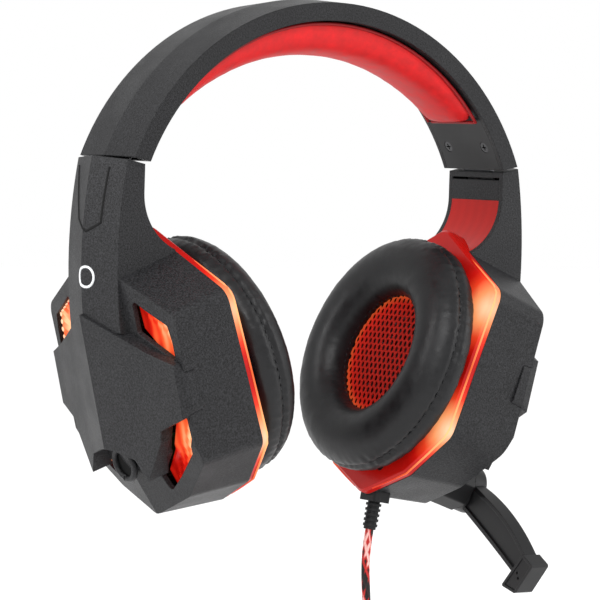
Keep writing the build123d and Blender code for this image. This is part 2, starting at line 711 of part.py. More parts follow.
def side_plane(x):
    """A plane across X whose sketches are drawn in (Y, Z)."""
    return Plane(origin=(x, 0, 0), x_dir=(0, 1, 0), z_dir=(1, 0, 0))


def boom_bar(x, thickness, shrink):
    """The bar between its two edges, shrunk all round, from X outward."""
    with BuildPart() as bar:
        with BuildSketch(side_plane(x)):
            with BuildLine():
                ThreePointArc(*BOOM_LOW_EDGE)
                Line(BOOM_LOW_EDGE[-1], BOOM_TOP_EDGE[0])
                ThreePointArc(*BOOM_TOP_EDGE)
                Line(BOOM_TOP_EDGE[-1], BOOM_LOW_EDGE[0])
            make_face()
            if shrink:
                offset(amount=-shrink)
        extrude(amount=thickness)
        split(bisect_by=BOOM_BASE, keep=Keep.TOP)
    return bar.part


with BuildPart() as mic_boom:
    with BuildSketch(BOOM_BASE):
        Circle(HUB_R)
    extrude(amount=BOOM_HUB_T)
    fillet(edges().filter_by(GeomType.CIRCLE).group_by(Axis(CUP.origin, CUP.z_dir))[-1],
           radius=1.5)
    add(boom_bar(BOOM_X, BOOM_T, 0))
    add(boom_bar(BOOM_X, BOOM_GROOVE, BOOM_RIM), mode=Mode.SUBTRACT)
    with BuildSketch(BOOM_BASE):
        Circle(PIN_R + PIN_CLEAR)
    extrude(amount=BOOM_HUB_T, mode=Mode.SUBTRACT)
    with BuildSketch(BOOM_BASE.offset(BOOM_HUB_T)):
        Circle(PIN_HEAD_R + PIN_CLEAR)
    extrude(amount=-PIN_HEAD_T, mode=Mode.SUBTRACT)
save("mic_boom", mic_boom.part)


def head_outline(inset):
    """The head's four-cornered outline, shrunk by inset."""
    with BuildSketch() as outline:
        with BuildLine():
            Polyline(*HEAD_CORNERS, close=True)
        make_face()
        if inset:
            offset(amount=-inset, kind=Kind.INTERSECTION)
    return outline.sketch_local


CAPSULE_PLANE = side_plane(HEAD_X + CAP_DEPTH)
with BuildPart() as mic_head:
    with BuildSketch(side_plane(HEAD_X)):
        add(head_outline(0))
    extrude(amount=HEAD_T)
    chamfer(edges().filter_by(Axis.X), length=0.8)
    with BuildSketch(side_plane(HEAD_X)):
        add(head_outline(HEAD_WALL))
    extrude(amount=CAP_DEPTH, mode=Mode.SUBTRACT)
    with BuildSketch(CAPSULE_PLANE):
        with Locations(CAPSULE_AT):
            Circle(CAPSULE_R)
    extrude(amount=CAPSULE_L, mode=Mode.SUBTRACT)
    add(mic_boom.part, mode=Mode.SUBTRACT)
save("mic_head", mic_head.part)
with BuildPart() as mic_capsule:
    with BuildSketch(CAPSULE_PLANE):
        with Locations(CAPSULE_AT):
            Circle(CAPSULE_R)
    extrude(amount=CAPSULE_L)
save("mic_capsule", mic_capsule.part)
with BuildPart() as mic_cap:
    with BuildSketch(CAPSULE_PLANE):
        add(head_outline(HEAD_WALL))
        with Locations((-43, -206.2), CAPSULE_AT):
            Circle(0.6, mode=Mode.SUBTRACT)
    extrude(amount=0.3 - CAP_DEPTH)
save("mic_cap", mic_cap.part)

# ---- strain relief, cord, coil, tie and plug --------------------------------------------
RELIEF_DIR = Vector(-sin(radians(RELIEF_TILT)), 0, -cos(radians(RELIEF_TILT)))
RELIEF = Plane(origin=RELIEF_FOOT, x_dir=(0, 1, 0), z_dir=RELIEF_DIR)
FOOT_L, FOOT_W, FOOT_T = 12.0, 8.0, 5.0
SLEEVE_R = 3.2
RIBS = 5
with BuildPart() as strain_relief:
    with BuildSketch(RELIEF.offset(-FOOT_T + 2.5)):
        RectangleRounded(FOOT_L, FOOT_W, 2.0)
    extrude(amount=FOOT_T)
    with BuildSketch(RELIEF):
        Circle(SLEEVE_R - 0.7)
    extrude(amount=RELIEF_LENGTH)
    pitch = (RELIEF_LENGTH - 3.5) / RIBS
    for rib in range(RIBS):
        with BuildSketch(RELIEF.offset(3.2 + rib * pitch)):
            Circle(SLEEVE_R - 0.05 * rib)
        extrude(amount=pitch * 0.55)
    with BuildSketch(RELIEF.offset(RELIEF_LENGTH - 1)):
        Circle(CORD_D / 2)
    extrude(amount=1, mode=Mode.SUBTRACT)
    add(outer_block, mode=Mode.SUBTRACT)
    add(bezel.part, mode=Mode.SUBTRACT)
save("strain_relief", strain_relief.part)


def fillet_radii(points):
    """Radius at each corner: 0.45 of the shorter run over the tangent of half the turn."""
    radii = []
    for before, here, after in zip(points, points[1:], points[2:]):
        run_in, run_out = here - before, after - here
        half_turn = radians(run_in.get_angle(run_out)) / 2
        radii.append(0.45 * min(run_in.length, run_out.length) / tan(half_turn))
    return radii


def cord_tube(name, points):
    """A round tube along straight runs joined by tangent arcs."""
    corners = [Vector(*p) for p in points]
    radii = fillet_radii(corners)
    with BuildPart() as tube:
        with BuildLine():
            line = FilletPolyline(*corners, radius=radii) if radii else Line(*corners)
        with BuildSketch(Plane(origin=line @ 0, z_dir=line % 0)):
            Circle(CORD_D / 2)
        sweep(path=line)
    ratio = tube.part.volume / (pi * CORD_D ** 2 / 4 * line.length)
    print(name, "length", round(line.length, 1), "radii", [round(r) for r in radii],
          "volume ratio", round(ratio, 4))
    save(name, tube.part)


cord_start = Vector(*RELIEF_FOOT) + RELIEF_DIR * (RELIEF_LENGTH - 1)
OUTER_TURN_R = COIL_MEAN_R + COIL_SECTION / 2 - CORD_D / 2
LEAD_X, LEAD_Y = 36.0, -5.4
COIL_X = LEAD_X - OUTER_TURN_R
ENTRY_RISE = 14.0
cord_tube("cord", [tuple(cord_start), (36.1, 0, -201.2), (35.4, -2.4, -218.5),
                   (LEAD_X, LEAD_Y, COIL_CENTRE_Z + ENTRY_RISE)])

COIL_PLANE = Plane(origin=(COIL_X, 0, COIL_CENTRE_Z), x_dir=(1, 0, 0), z_dir=(0, 1, 0))
COIL_AXIS = Axis(COIL_PLANE.origin, (0, 1, 0))
TIE_T = 1.2
TIE_HALF_ANGLE = 12.0


def coil_ring(low_r, high_r, half_depth, arc, start_angle=0.0):
    """A ring sector of rectangular section about the coil's axis, starting from below."""
    lean = radians(start_angle)
    out = Vector(sin(lean), 0, cos(lean))
    with BuildPart() as ring:
        with BuildSketch(Plane(origin=COIL_PLANE.origin, x_dir=out, z_dir=Vector(0, 1, 0).cross(out))):
            with Locations(((low_r + high_r) / 2, 0)):
                Rectangle(high_r - low_r, 2 * half_depth)
            if arc == 360:
                fillet(vertices(), radius=2.5)
        revolve(axis=COIL_AXIS, revolution_arc=arc)
    return ring.part


half_section = COIL_SECTION / 2
coil_low, coil_high = COIL_MEAN_R - half_section, COIL_MEAN_R + half_section
save("cord_coil", coil_ring(coil_low, coil_high, half_section, 360))
with BuildPart() as cord_tie:
    add(coil_ring(coil_low - TIE_T, coil_high + TIE_T, half_section + TIE_T,
                  2 * TIE_HALF_ANGLE, -TIE_HALF_ANGLE))
    add(coil_ring(coil_low, coil_high, half_section, 2 * TIE_HALF_ANGLE + 4,
                  -TIE_HALF_ANGLE - 2), mode=Mode.SUBTRACT)
save("cord_tie", cord_tie.part)

TAIL_Y = 5.4
tail_end_z = COIL_CENTRE_Z - ENTRY_RISE - TAIL_LENGTH
cord_tube("cord_tail", [(LEAD_X, TAIL_Y, COIL_CENTRE_Z - ENTRY_RISE),
                        (LEAD_X, TAIL_Y, tail_end_z)])
PLUG = Plane(origin=(LEAD_X, TAIL_Y, tail_end_z), x_dir=(1, 0, 0), z_dir=(0, 0, -1))
PLUG_RELIEF_L, PLUG_BODY_L, PLUG_SHELL_L = 9.0, 22.0, 12.0
PLUG_W, PLUG_T = 15.6, 8.0
USB_W, USB_T = 12.0, 4.5
with BuildPart() as usb_plug:
    for size, h in ((5.0, 0.0), (6.4, PLUG_RELIEF_L)):
        with BuildSketch(PLUG.offset(h)):
            RectangleRounded(size, size, 1.8)
    loft()
    with BuildSketch(PLUG.offset(PLUG_RELIEF_L)):
        RectangleRounded(PLUG_W, PLUG_T, 2.2)
    extrude(amount=PLUG_BODY_L)
save("usb_plug", usb_plug.part)
with BuildPart() as usb_shell:
    with BuildSketch(PLUG.offset(PLUG_RELIEF_L + PLUG_BODY_L)):
        Rectangle(USB_W, USB_T)
    extrude(amount=PLUG_SHELL_L)
    with BuildSketch(PLUG.offset(PLUG_RELIEF_L + PLUG_BODY_L + 3)):
        with Locations((0, -0.9)):
            Rectangle(USB_W - 0.8, 2.0)
    extrude(amount=PLUG_SHELL_L, mode=Mode.SUBTRACT)
save("usb_shell", usb_shell.part)
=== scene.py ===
import math
import bmesh
import bpy
from mathutils import Matrix, Vector, noise


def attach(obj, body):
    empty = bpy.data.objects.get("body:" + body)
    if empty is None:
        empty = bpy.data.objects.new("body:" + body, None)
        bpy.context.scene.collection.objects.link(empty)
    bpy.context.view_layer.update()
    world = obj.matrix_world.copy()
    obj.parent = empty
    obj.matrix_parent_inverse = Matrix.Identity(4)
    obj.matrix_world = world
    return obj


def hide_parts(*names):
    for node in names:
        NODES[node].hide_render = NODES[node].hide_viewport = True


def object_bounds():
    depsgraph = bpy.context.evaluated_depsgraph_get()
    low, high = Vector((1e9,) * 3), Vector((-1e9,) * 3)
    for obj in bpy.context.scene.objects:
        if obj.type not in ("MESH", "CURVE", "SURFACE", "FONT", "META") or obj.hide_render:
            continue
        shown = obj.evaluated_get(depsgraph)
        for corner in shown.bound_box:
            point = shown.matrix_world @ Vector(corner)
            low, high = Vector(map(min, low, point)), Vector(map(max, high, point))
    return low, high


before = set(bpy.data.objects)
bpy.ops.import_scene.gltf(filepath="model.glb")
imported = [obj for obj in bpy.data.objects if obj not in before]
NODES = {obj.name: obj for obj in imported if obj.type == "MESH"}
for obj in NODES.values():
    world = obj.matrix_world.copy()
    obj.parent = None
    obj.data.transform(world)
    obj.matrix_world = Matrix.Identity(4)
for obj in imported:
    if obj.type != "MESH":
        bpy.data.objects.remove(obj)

cad_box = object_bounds()
MM = 0.001
scene = bpy.context.scene

# ---- the cup's own directions, as in the CAD ------------------------------------
TILT = math.radians(20)
CUP_ORIGIN = Vector((66, 0, -94))
CUP_UP = Vector((math.sin(TILT), 0, math.cos(TILT)))
CUP_OUT = Vector((math.cos(TILT), 0, -math.sin(TILT)))
SIDES = {"left": 1, "right": -1}
PAD_V = -32.0                # height of the speaker's centre below the cup's origin
MESH_H = -10.4               # height and radius of the speaker's mesh
MESH_R = 27.2


def in_cup(y, v, h, side=1):
    """A point in metres from the cup's front-back, up and outward directions in mm."""
    p = CUP_ORIGIN + CUP_UP * v + CUP_OUT * h
    return Vector((side * p.x, y, p.z)) * MM


def around(centre_v, radius, angle, height, side=1):
    """A point in metres on a circle about one of the cup's outward axes."""
    return in_cup(radius * math.sin(angle), centre_v + radius * math.cos(angle), height, side)


def spoke(angle):
    """Direction from such an axis to its circle, at an angle from the cup's upward direction."""
    return Vector((0, math.sin(angle), 0)) + CUP_UP * math.cos(angle)


def turns(count):
    """Evenly spaced angles once round a circle."""
    return [2 * math.pi * k / count for k in range(count)]


# Each half of the outer face: its height at a level, and its slopes upward and sideways.
UPPER_FACE = (31, 11, -0.096, -0.165)
LOWER_FACE = (30, -80, 0.28, -0.2)


def face_height(y, v):
    """Height of the housing's outer face, in mm."""
    return min(height + upward * (v - level) + sideways * abs(y)
               for height, level, upward, sideways in (UPPER_FACE, LOWER_FACE))


# ---- camera -----------------------------------------------------------------------
AZIMUTH, PITCH, DISTANCE = math.radians(35), math.radians(3), 1.5
AIM = Vector((0, 0, -0.098))
LENS_MM, SENSOR_MM = 225.0, 36.0
tip = Matrix.Rotation(-PITCH, 3, "X")
forward = tip @ Vector((math.sin(AZIMUTH), math.cos(AZIMUTH), 0))
right = tip @ Vector((math.cos(AZIMUTH), -math.sin(AZIMUTH), 0))
up = tip @ Vector((0, 0, 1))
camera = bpy.data.objects.new("camera", bpy.data.cameras.new("camera"))
camera.data.lens = LENS_MM
camera.data.sensor_width = SENSOR_MM
camera.data.clip_end = 20
turn = Matrix((right, up, -forward)).transposed()
camera.matrix_world = Matrix.Translation(AIM - forward * DISTANCE) @ turn.to_4x4()
scene.collection.objects.link(camera)
scene.camera = camera


# ---- materials ----------------------------------------------------------------------
class Paint:
    """A material with short calls for its nodes."""

    def __init__(self, name, colour, rough, metal=0.0, specular=0.3):
        self.material = bpy.data.materials.new(name)
        self.material.use_nodes = True
        self.tree = self.material.node_tree
        self.shader = self.tree.nodes["Principled BSDF"]
        self.set("Base Color", (*colour, 1))
        self.set("Roughness", rough)
        self.set("Metallic", metal)
        self.set("Specular IOR Level", specular)
        self.where = self.add("ShaderNodeTexCoord").outputs["Object"]

    def add(self, kind, **values):
        node = self.tree.nodes.new(kind)
        for key, value in values.items():
            setattr(node, key, value)
        return node

    def set(self, socket, value):
        self.shader.inputs[socket].default_value = value

    def link(self, output, socket):
        self.tree.links.new(output, socket)

    def noise(self, scale, detail=2.0, rough=0.5, where=None):
        node = self.add("ShaderNodeTexNoise")
        node.inputs["Scale"].default_value = scale
        node.inputs["Detail"].default_value = detail
        node.inputs["Roughness"].default_value = rough
        self.link(where or self.where, node.inputs["Vector"])
        return node.outputs["Fac"]

    def cells(self, scale, feature="F1"):
        node = self.add("ShaderNodeTexVoronoi", feature=feature)
        node.inputs["Scale"].default_value = scale
        self.link(self.where, node.inputs["Vector"])
        return node.outputs["Distance"]

    def ramp(self, factor, stops):
        node = self.add("ShaderNodeValToRGB")
        elements = node.color_ramp.elements
        while len(elements) < len(stops):
            elements.new(0.5)
        for element, (at, colour) in zip(elements, stops):
            element.position = at
            element.color = (*colour, 1)
        self.link(factor, node.inputs["Fac"])
        return node.outputs["Color"]

    def grey(self, factor, low, high, out_low, out_high):
        node = self.add("ShaderNodeMapRange")
        names = ("From Min", "From Max", "To Min", "To Max")
        for name, value in zip(names, (low, high, out_low, out_high)):
            node.inputs[name].default_value = value
        self.link(factor, node.inputs["Value"])
        return node.outputs["Result"]

    def maths(self, operation, first, second):
        node = self.add("ShaderNodeMath", operation=operation)
        for index, value in enumerate((first, second)):
            if isinstance(value, (int, float)):
                node.inputs[index].default_value = value
            else:
                self.link(value, node.inputs[index])
        return node.outputs[0]

    def bump(self, height, distance, under=None):
        node = self.add("ShaderNodeBump")
        node.inputs["Distance"].default_value = distance
        node.inputs["Strength"].default_value = 1.0
        self.link(height, node.inputs["Height"])
        if under:
            self.link(under, node.inputs["Normal"])
        self.link(node.outputs["Normal"], self.shader.inputs["Normal"])

    def soft_edges(self, radius):
        """Shading normal with every sharp edge rounded a little."""
        node = self.add("ShaderNodeBevel", samples=4)
        node.inputs["Radius"].default_value = radius
        return node.outputs["Normal"]


GRAIN_SCALE, GRAIN_DEPTH = 1500, 0.00016
SHELL_EDGE, FINE_EDGE = 0.0006, 0.0004         # radius of a moulded edge, in metres
BRUSHED = (1, 1, 30)                           # how the brushing is drawn out on each axis


def grained_plastic(name, colour, rough):
    """Moulded plastic with a fine spark-eroded grain, its glints and shade painted in, a little
    worn where it is handled.
    """
    p = Paint(name, colour, rough, 0, 0.17)
    fine = p.noise(GRAIN_SCALE, 3, 0.6)
    broad = p.noise(60, 4)
    # Painted glints and shade: speckles on the grain's raised tops are coloured lighter, its pits
    # darker.
    light = tuple(c * 3.0 for c in colour)
    dark = tuple(c * 0.5 for c in colour)
    p.link(p.ramp(fine, [(0.38, dark), (0.72, light)]), p.shader.inputs["Base Color"])
    p.link(p.grey(broad, 0.3, 0.7, rough - 0.05, rough + 0.06), p.shader.inputs["Roughness"])
    p.bump(fine, GRAIN_DEPTH, p.soft_edges(SHELL_EDGE))
    return p.material


def satin_plastic(name, colour, rough):
    """Smooth moulded plastic or rubber with slightly uneven gloss."""
    p = Paint(name, colour, rough, 0, 0.2)
    fine = p.noise(GRAIN_SCALE, 2)
    p.link(p.grey(p.noise(45, 3), 0.3, 0.7, rough - 0.06, rough + 0.06),
           p.shader.inputs["Roughness"])
    p.bump(fine, 0.00002, p.soft_edges(FINE_EDGE))
    return p.material


def metal(name, colour, rough):
    """Metal with faint brushed lines."""
    p = Paint(name, colour, rough, 1.0)
    mapping = p.add("ShaderNodeMapping")
    mapping.inputs["Scale"].default_value = BRUSHED
    p.link(p.where, mapping.inputs["Vector"])
    lines = p.noise(900, 2, 0.5, mapping.outputs["Vector"])
    p.link(p.grey(lines, 0.3, 0.7, rough - 0.1, rough + 0.1), p.shader.inputs["Roughness"])
    p.bump(lines, 0.00001)
    return p.material


def leatherette(name, colour, rough, grain=1400, depth=0.00005):
    """Coated fabric: pebble grain, small creases and slightly uneven gloss."""
    p = Paint(name, colour, rough, 0, 0.2)
    pebble = p.cells(grain, "SMOOTH_F1")
    crease = p.noise(220, 5, 0.65)
    height = p.maths("ADD", p.maths("MULTIPLY", pebble, 0.4), crease)
    light = tuple(min(c * 1.5, 1) for c in colour)
    p.link(p.ramp(crease, [(0.3, colour), (0.75, light)]), p.shader.inputs["Base Color"])
    p.link(p.grey(crease, 0.3, 0.7, rough - 0.08, rough + 0.08), p.shader.inputs["Roughness"])
    p.bump(height, depth)
    return p.material


def near(p, spots, reach):
    """1 at any of the spots, falling to 0 at the reach, by object position."""
    total = None
    for spot in spots:
        gap = p.add("ShaderNodeVectorMath", operation="DISTANCE")
        p.link(p.where, gap.inputs[0])
        gap.inputs[1].default_value = spot
        value = p.grey(gap.outputs["Value"], 0, reach, 1, 0)
        total = value if total is None else p.maths("MAXIMUM", total, value)
    return total


def lit_red(name, spots, reach, glow, rough, stops, ribs=0.0):
    """Red plastic lit from inside, brightest beside its lamps; ribs are counted per metre."""
    p = Paint(name, (0.24, 0.003, 0.002), rough, 0, 0.16)
    p.set("IOR", 1.49)
    cloud = p.noise(160, 2)
    level = p.maths("ADD", near(p, spots, reach), p.maths("MULTIPLY", cloud, 0.1))
    if ribs:
        split = p.add("ShaderNodeSeparateXYZ")
        p.link(p.where, split.inputs[0])
        wave = p.maths("SINE", p.maths("MULTIPLY", split.outputs["Y"], 2 * math.pi * ribs), 0)
        level = p.maths("ADD", level, p.maths("MULTIPLY", wave, 0.11))
    p.link(p.ramp(level, stops), p.shader.inputs["Emission Color"])
    p.link(p.grey(level, 0.0, 1.0, glow * 0.45, glow), p.shader.inputs["Emission Strength"])
    p.bump(p.noise(400, 2), 0.00003, p.soft_edges(FINE_EDGE))
    return p.material


MESH_GLOW_REACH = 0.036


def mesh_fabric(name):
    """Red knit that glows towards its rim, where the lamps are."""
    p = Paint(name, (0.2, 0.006, 0.004), 0.7, 0, 0.08)
    thread = p.noise(3000, 3)
    p.link(p.ramp(thread, [(0.3, (0.12, 0.003, 0.002)), (0.7, (0.34, 0.012, 0.006))]),
           p.shader.inputs["Base Color"])
    centres = [in_cup(0, PAD_V, MESH_H, s) for s in SIDES.values()]
    rim = p.maths("SUBTRACT", 1.0, near(p, centres, MESH_GLOW_REACH))
    p.link(p.ramp(rim, [(0.0, (0.25, 0.003, 0.002)), (0.62, (0.5, 0.01, 0.004)),
                        (0.80, (1.0, 0.22, 0.05))]), p.shader.inputs["Emission Color"])
    p.link(p.grey(rim, 0.45, 0.8, 0.12, 0.75), p.shader.inputs["Emission Strength"])
    p.bump(thread, 0.0001)
    return p.material


PICK_SHARE = 0.62            # length of one crossing, as a share of the cord's diameter
STRANDS_ROUND = 4.0


def braid(name, length, diameter):
    """Braided sleeve: two sets of strands crossing round the cord, red and pale on black."""
    p = Paint(name, (0.3, 0.01, 0.01), 0.7)
    split = p.add("ShaderNodeSeparateXYZ")
    p.link(p.add("ShaderNodeTexCoord").outputs["UV"], split.inputs[0])
    picks = length / (diameter * PICK_SHARE)
    along = p.maths("MULTIPLY", split.outputs["X"], picks)
    around = p.maths("MULTIPLY", split.outputs["Y"], STRANDS_ROUND)
    strands = []
    for way in ("ADD", "SUBTRACT"):
        phase = p.maths("MULTIPLY", p.maths(way, along, around), 2 * math.pi)
        strands.append(p.maths("SINE", phase, 0))
    slow = p.maths("MULTIPLY", split.outputs["X"], picks / 4)
    stripe = p.maths("SINE", p.maths("MULTIPLY", p.maths("ADD", slow, split.outputs["Y"]),
                                     2 * math.pi), 0)
    weave = p.maths("MAXIMUM", strands[0], strands[1])
    tone = p.maths("ADD", p.maths("MULTIPLY", weave, 0.3), p.maths("MULTIPLY", stripe, 0.4))
    p.link(p.ramp(p.maths("ADD", tone, 0.5),
                  [(0.42, (0.010, 0.008, 0.008)), (0.56, (0.33, 0.007, 0.006)),
                   (0.82, (0.45, 0.03, 0.025)), (1.0, (0.68, 0.36, 0.33))]),
           p.shader.inputs["Base Color"])
    p.bump(weave, 0.00035)
    return p.material


# Where the lamps shine through, and the colours from unlit to brightest.
GLOW_SPOTS = [in_cup(y, v, -2, s) for s in SIDES.values() for y in (43, -43) for v in (-6, -58)]
WINDOW_SPOTS = [in_cup(y, v, 24, s) for s in SIDES.values()
                for y, v in ((37, -8), (-37, -8), (37, -50), (-37, -50))]
GLOW = [(0.0, (0.22, 0.003, 0.002)), (0.25, (0.50, 0.006, 0.003)), (0.5, (0.85, 0.07, 0.02)),
        (0.75, (1.0, 0.42, 0.16)), (1.0, (1.0, 0.75, 0.45))]
LINE_GLOW = [(0.0, (0.75, 0.03, 0.01)), (0.3, (0.95, 0.22, 0.05)), (1.0, (1.0, 0.62, 0.25))]
GUIDE_GLOW = [(0.0, (0.35, 0.004, 0.002)), (0.35, (0.80, 0.02, 0.008)),
              (0.65, (1.0, 0.18, 0.05)), (1.0, (1.0, 0.60, 0.30))]
SHELL = grained_plastic("shell_plastic", (0.0075, 0.0075, 0.0082), 0.46)
BAND = grained_plastic("band_plastic", (0.0060, 0.0060, 0.0066), 0.44)
INNER = satin_plastic("inner_plastic", (0.0055, 0.0055, 0.006), 0.45)
BOOM = satin_plastic("boom_plastic", (0.0065, 0.0065, 0.007), 0.42)
SEAM_RED = lit_red("seam_red", GLOW_SPOTS, 0.024, 0.95, 0.3, GLOW)
SEAM_LINE = lit_red("seam_line", GLOW_SPOTS, 0.034, 1.15, 0.3, LINE_GLOW)
ARM_RED = lit_red("arm_red", [in_cup(0, 12, 4, s) for s in SIDES.values()], 0.045, 0.25, 0.28,
                  [(0.0, (0.16, 0.004, 0.002)), (1.0, (0.60, 0.02, 0.008))], 170.0)
GUIDE = lit_red("guide_red", WINDOW_SPOTS, 0.020, 1.15, 0.22, GUIDE_GLOW, 190.0)
# Painted glints: cream glow for the beads along the windows' outer edges.
GUIDE_GLINTS = lit_red("guide_glint_glow", WINDOW_SPOTS, 0.030, 1.3, 0.3,
                     [(0.0, (1.0, 0.25, 0.08)), (1.0, (1.0, 0.72, 0.45))])
STEEL = metal("steel", (0.20, 0.20, 0.21), 0.4)
NICKEL = metal("nickel", (0.75, 0.75, 0.76), 0.2)
SCREW = metal("screw_black", (0.05, 0.05, 0.052), 0.4)
MAGNET = metal("magnet", (0.32, 0.32, 0.33), 0.45)
CONE = satin_plastic("cone_film", (0.10, 0.10, 0.11), 0.3)
BOARD = satin_plastic("board", (0.02, 0.12, 0.05), 0.35)
LED = lit_red("led", GLOW_SPOTS, 0.05, 3.0, 0.2,
              [(0.0, (1, 0.4, 0.1)), (1.0, (1, 0.8, 0.5))])
MESH = mesh_fabric("mesh_fabric")
BLACK_SKIN = leatherette("black_leatherette", (0.0055, 0.0055, 0.006), 0.42)
RED_SKIN = leatherette("red_pad", (0.36, 0.006, 0.007), 0.55, 2200, 0.00001)
WELT_RED = leatherette("red_welt", (0.16, 0.004, 0.005), 0.5, 2200, 0.00001)
THREAD = satin_plastic("thread", (0.012, 0.012, 0.013), 0.6)
RUBBER = satin_plastic("relief_rubber", (0.007, 0.007, 0.0075), 0.55)
PALE = satin_plastic("pale_mark", (0.50, 0.51, 0.52), 0.4)
# Near-black material that paints the shade inside grooves and recesses.
PAINTED_SHADE = satin_plastic("groove", (0.0015, 0.0015, 0.0016), 0.8)

FINISH = {
    "headband_shell": BAND, "headband_liner": INNER, "headband_spring": STEEL,
    "headband_screws": SCREW, "crossover_wire": RUBBER, "housing": SHELL, "shield": SHELL,
    "bezel": SEAM_RED, "arm_cap": SHELL, "arm_window": ARM_RED, "slider": STEEL,
    "slider_screws": STEEL, "baffle": INNER, "driver_frame": INNER, "driver_cone": CONE,
    "driver_magnet": MAGNET, "led_board": BOARD, "leds": LED, "housing_screws": SCREW,
    "sound_board": BOARD, "mic_hub": INNER, "mic_pin": SCREW, "strain_relief": RUBBER,
    "cord_tie": RUBBER, "usb_plug": INNER, "usb_shell": NICKEL, "mic_boom": BOOM,
    "mic_head": BOOM, "mic_capsule": NICKEL, "mic_cap": INNER,
}


def stem(node):
    """The node's name without its side."""
    return node.split("_", 1)[1] if node.split("_")[0] in SIDES else node


for name, node in NODES.items():
    if stem(name) in FINISH:
        node.data.materials.clear()
        node.data.materials.append(FINISH[stem(name)])


# ---- mesh helpers ----------------------------------------------------------------------
def piece(name, mesh, material, body):
    """Link a finished mesh as a piece that rides on a body."""
    thing = bpy.data.objects.new(name, mesh)
    scene.collection.objects.link(thing)
    mesh.materials.clear()
    mesh.materials.append(material)
    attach(thing, body)
    return thing


def to_mesh(name, verts, faces, smooth=True):
    mesh = bpy.data.meshes.new(name)
    mesh.from_pydata([tuple(v) for v in verts], [], faces)
    mesh.validate()
    bm = bmesh.new()
    bm.from_mesh(mesh)
    bmesh.ops.recalc_face_normals(bm, faces=bm.faces)
    bm.to_mesh(mesh)
    bm.free()
    for polygon in mesh.polygons:
        polygon.use_smooth = smooth
    return mesh


def on_side(mesh, side, name):
    """The left-hand mesh itself, or its mirror image under a new name."""
    if side == 1:
        return mesh
    twin = mesh.copy()
    twin.name = name
    twin.transform(Matrix.Scale(-1, 4, (1, 0, 0)))
    twin.flip_normals()
    return twin


def new_object(name, mesh):
    """A linked, active helper object, ready for modifiers to be applied."""
    thing = bpy.data.objects.new(name, mesh)
    scene.collection.objects.link(thing)
    bpy.context.view_layer.objects.active = thing
    return thing


def taken_out(thing):
    """Remove a helper object and return its mesh, smooth shaded."""
    result = thing.data
    bpy.data.objects.remove(thing)
    for polygon in result.polygons:
        polygon.use_smooth = True
    return result


CLOTH_FRAMES = 20
CLOTH_PRESSURE = 4.0


def settle(mesh, name, cap, voxel, hold=None):
    """Inflate a closed mesh as a stuffed cloth bag, moving no point further than the cap."""
    thing = new_object(name, mesh)
    remesh = thing.modifiers.new("remesh", "REMESH")
    remesh.mode = "VOXEL"
    remesh.voxel_size = voxel
    bpy.ops.object.modifier_apply(modifier="remesh")
    before = [v.co.copy() for v in thing.data.vertices]
    cloth = thing.modifiers.new("cloth", "CLOTH")
    cloth.settings.use_pressure = True
    cloth.settings.uniform_pressure_force = CLOTH_PRESSURE
    cloth.settings.effector_weights.gravity = 0
    cloth.settings.quality = 6
    if hold:
        group = thing.vertex_groups.new(name="held")
        for vertex in thing.data.vertices:
            if hold(vertex.co):
                group.add([vertex.index], 1.0, "REPLACE")
        cloth.settings.vertex_group_mass = "held"
    cloth.point_cache.frame_end = CLOTH_FRAMES
    for step in range(1, CLOTH_FRAMES + 1):
        scene.frame_set(step)
    bpy.ops.object.modifier_apply(modifier="cloth")
    scene.frame_set(1)
    for vertex, rest in zip(thing.data.vertices, before):
        moved = vertex.co - rest
        if moved.length > cap:
            vertex.co = rest + moved * (cap / moved.length)
    smooth = thing.modifiers.new("smooth", "SMOOTH")
    smooth.factor = 0.5
    smooth.iterations = 3
    bpy.ops.object.modifier_apply(modifier="smooth")
    finer = thing.modifiers.new("finer", "SUBSURF")
    finer.levels = 1
    bpy.ops.object.modifier_apply(modifier="finer")
    return taken_out(thing)


def tube_along(name, points, radius, closed=True, sides=8):
    """A round tube through the points, all in mm."""
    verts, faces = [], []
    count = len(points)
    for index, point in enumerate(points):
        ahead = points[(index + 1) % count] if closed else points[min(index + 1, count - 1)]
        behind = points[index - 1] if closed else points[max(index - 1, 0)]
        along = (ahead - behind).normalized()
        side = along.cross(Vector((0, 1, 0)))
        if side.length < 0.2:
            side = along.cross(Vector((0, 0, 1)))
        side.normalize()
        up_way = side.cross(along)
        for angle in turns(sides):
            verts.append((point + (side * math.cos(angle) + up_way * math.sin(angle))
                          * radius) * MM)
    for index in range(count if closed else count - 1):
        after = (index + 1) % count
        for k in range(sides):
            nxt = (k + 1) % sides
            faces.append((index * sides + k, index * sides + nxt,
                          after * sides + nxt, after * sides + k))
    return to_mesh(name, verts, faces)


# ---- cord, which hangs from the strain relief to a tied coil and its plug --------------------
CORD_D = 3.6
COIL_CENTRE = Vector((9.75, 0, -254))
COIL_GRID = 4                # layers outward and rows front to back
COIL_PITCH = 3.66
COIL_MEAN_R = 20.75
TURNS = COIL_GRID * COIL_GRID
POINTS_PER_TURN = 24
STEP_SHARE = 70 / 360        # share of a turn in which it moves over to the next one's place
STEP_LAG = 17 / 360          # each turn moves over that much earlier than the last
# Points chosen before and after the coil, in mm.
LEAD = [(38.04, 0, -190.4), (36.1, 0, -201.2), (35.4, -2.4, -218.5), (36, -5.4, -240)]
TAIL = [(36, 5.4, -268), (36, 5.4, -280), (36, 5.4, -292)]


def coil_seat(index):
    """Radius and row of one turn's place in the winding."""
    row, layer = divmod(index, COIL_GRID)
    outward = COIL_GRID - 1 - layer if row % 2 == 0 else layer
    middle = (COIL_GRID - 1) / 2
    return (COIL_MEAN_R + (outward - middle) * COIL_PITCH, (row - middle) * COIL_PITCH)


def ease(t):
    """0 to 1 with a soft start and end."""
    t = min(max(t, 0), 1)
    return t * t * (3 - 2 * t)


